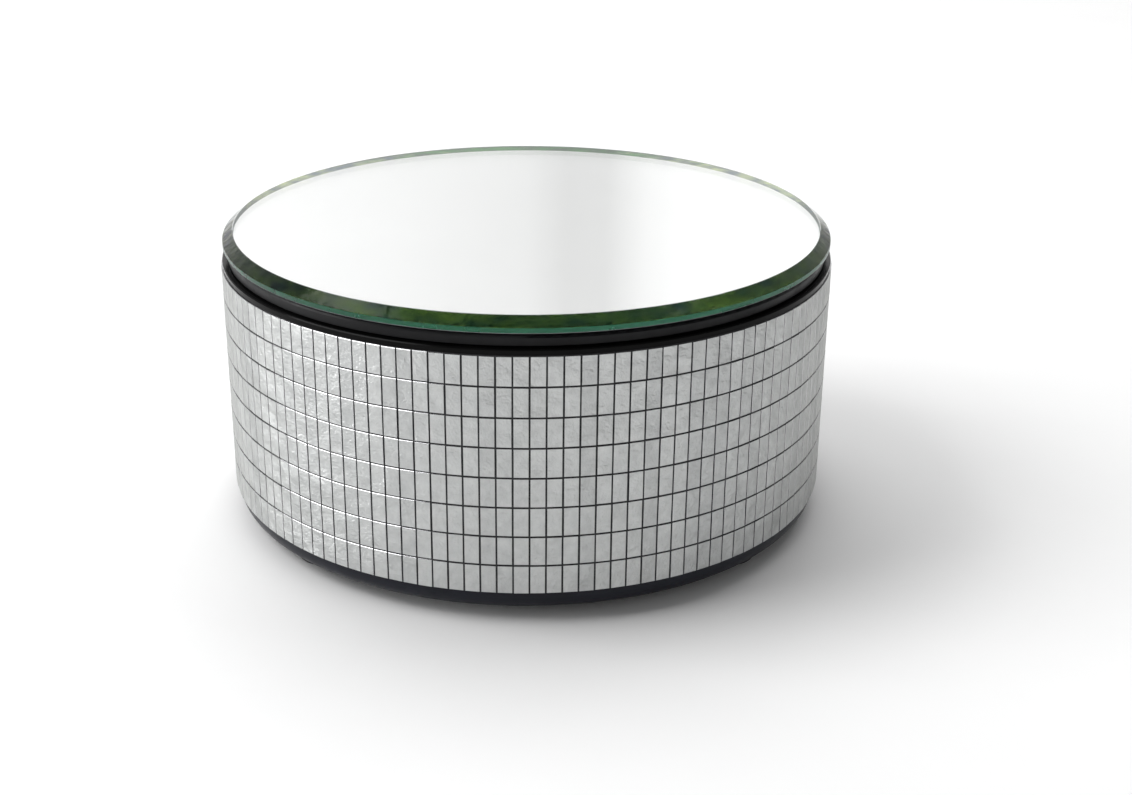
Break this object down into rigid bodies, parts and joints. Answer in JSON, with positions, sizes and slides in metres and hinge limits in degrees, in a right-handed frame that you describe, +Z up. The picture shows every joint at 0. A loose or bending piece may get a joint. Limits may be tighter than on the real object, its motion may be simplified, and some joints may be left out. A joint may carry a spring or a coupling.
{
  "type": "turntable display stand",
  "caption": "Motorised round display turntable: bevelled mirror disc turning over a black drum covered in rows of small metallic tiles, on rubber feet.",
  "frame": {"origin": "on the floor under the centre of the drum, at the bottom of the feet", "axes": "+Z up along the turning axis, -Y towards the front, +X to the right as seen from the front"},
  "size_m": [0.2018, 0.2018, 0.0965],
  "materials": {
    "mirror_glass": "clear float glass, polished bevel",
    "silvering": "mirror silver under a painted back",
    "foam_tape": "closed-cell foam",
    "platter_plastic": "satin black",
    "gear_plastic": "natural acetal",
    "screws": "zinc plated",
    "bearing_steel": "polished",
    "cage_plastic": "natural nylon",
    "housing_plastic": "satin black moulding",
    "tile_backing": "flexible dark sheet",
    "tiles": "satin reflective with bevelled edges",
    "gearbox_metal": "satin",
    "motor_metal": "satin",
    "foot_rubber": "matte",
    "inner_plastic": "moulded",
    "contact_metal": "nickel plated",
    "cell_wrap": "plain shrink wrap",
    "rocker_plastic": "glossy",
    "terminal_brass": "plain",
    "lead_sleeve": "insulation"
  },
  "bodies": {
    "drum": {"housing": "housing_plastic", "tile_backing": "tile_backing", "tile_row_1": "tiles", "tile_row_2": "tiles", "tile_row_3": "tiles", "tile_row_4": "tiles", "tile_row_5": "tiles", "tile_row_6": "tiles", "tile_row_7": "tiles", "tile_row_8": "tiles", "lower_race": "bearing_steel", "spindle": "bearing_steel", "spindle_washer": "screws", "spindle_screw": "screws", "gearbox": "gearbox_metal", "motor_can": "motor_metal", "gearbox_screws": "screws", "base_tray": "housing_plastic", "base_screws": "screws", "feet": "foot_rubber", "foot_screws": "screws", "battery_box": "inner_plastic", "box_screws": "screws", "battery_contacts": "contact_metal", "cells": "cell_wrap", "switch_case": "inner_plastic", "terminals": "terminal_brass", "leads": "lead_sleeve"},
    "platter": {"mirror_glass": "mirror_glass", "mirror_silvering": "silvering", "foam_tape": "foam_tape", "platter": "platter_plastic", "platter_gear": "gear_plastic", "gear_screws": "screws", "upper_race": "bearing_steel"},
    "cage": {"ball_cage": "cage_plastic", "bearing_balls": "bearing_steel"},
    "pinion": {"pinion": "gear_plastic", "output_shaft": "bearing_steel"},
    "door": {"battery_door": "housing_plastic"},
    "rocker": {"switch_rocker": "rocker_plastic"}
  },
  "joints": [
    {"name": "platter_spin", "type": "hinge", "parent": "drum", "child": "platter", "pos_m": [0, 0, 0.088], "axis": [0, 0, 1], "continuous": true},
    {"name": "cage_spin", "type": "hinge", "parent": "drum", "child": "cage", "pos_m": [0, 0, 0.0842], "axis": [0, 0, 1], "continuous": true},
    {"name": "pinion_spin", "type": "hinge", "parent": "drum", "child": "pinion", "pos_m": [0, 0.045, 0.085], "axis": [0, 0, 1], "continuous": true},
    {"name": "door_hinge", "type": "hinge", "parent": "drum", "child": "door", "pos_m": [0, -0.0043, 0.00475], "axis": [1, 0, 0], "range_deg": [0, 85]},
    {"name": "rocker_tilt", "type": "hinge", "parent": "drum", "child": "rocker", "pos_m": [-0.06185, 0, 0.0095], "axis": [1, 0, 0], "range_deg": [0, 20]}
  ],
  "couplings": [
    {"joint": "cage_spin", "follows": "platter_spin", "ratio": 0.5},
    {"joint": "pinion_spin", "follows": "platter_spin", "ratio": -4}
  ]
}
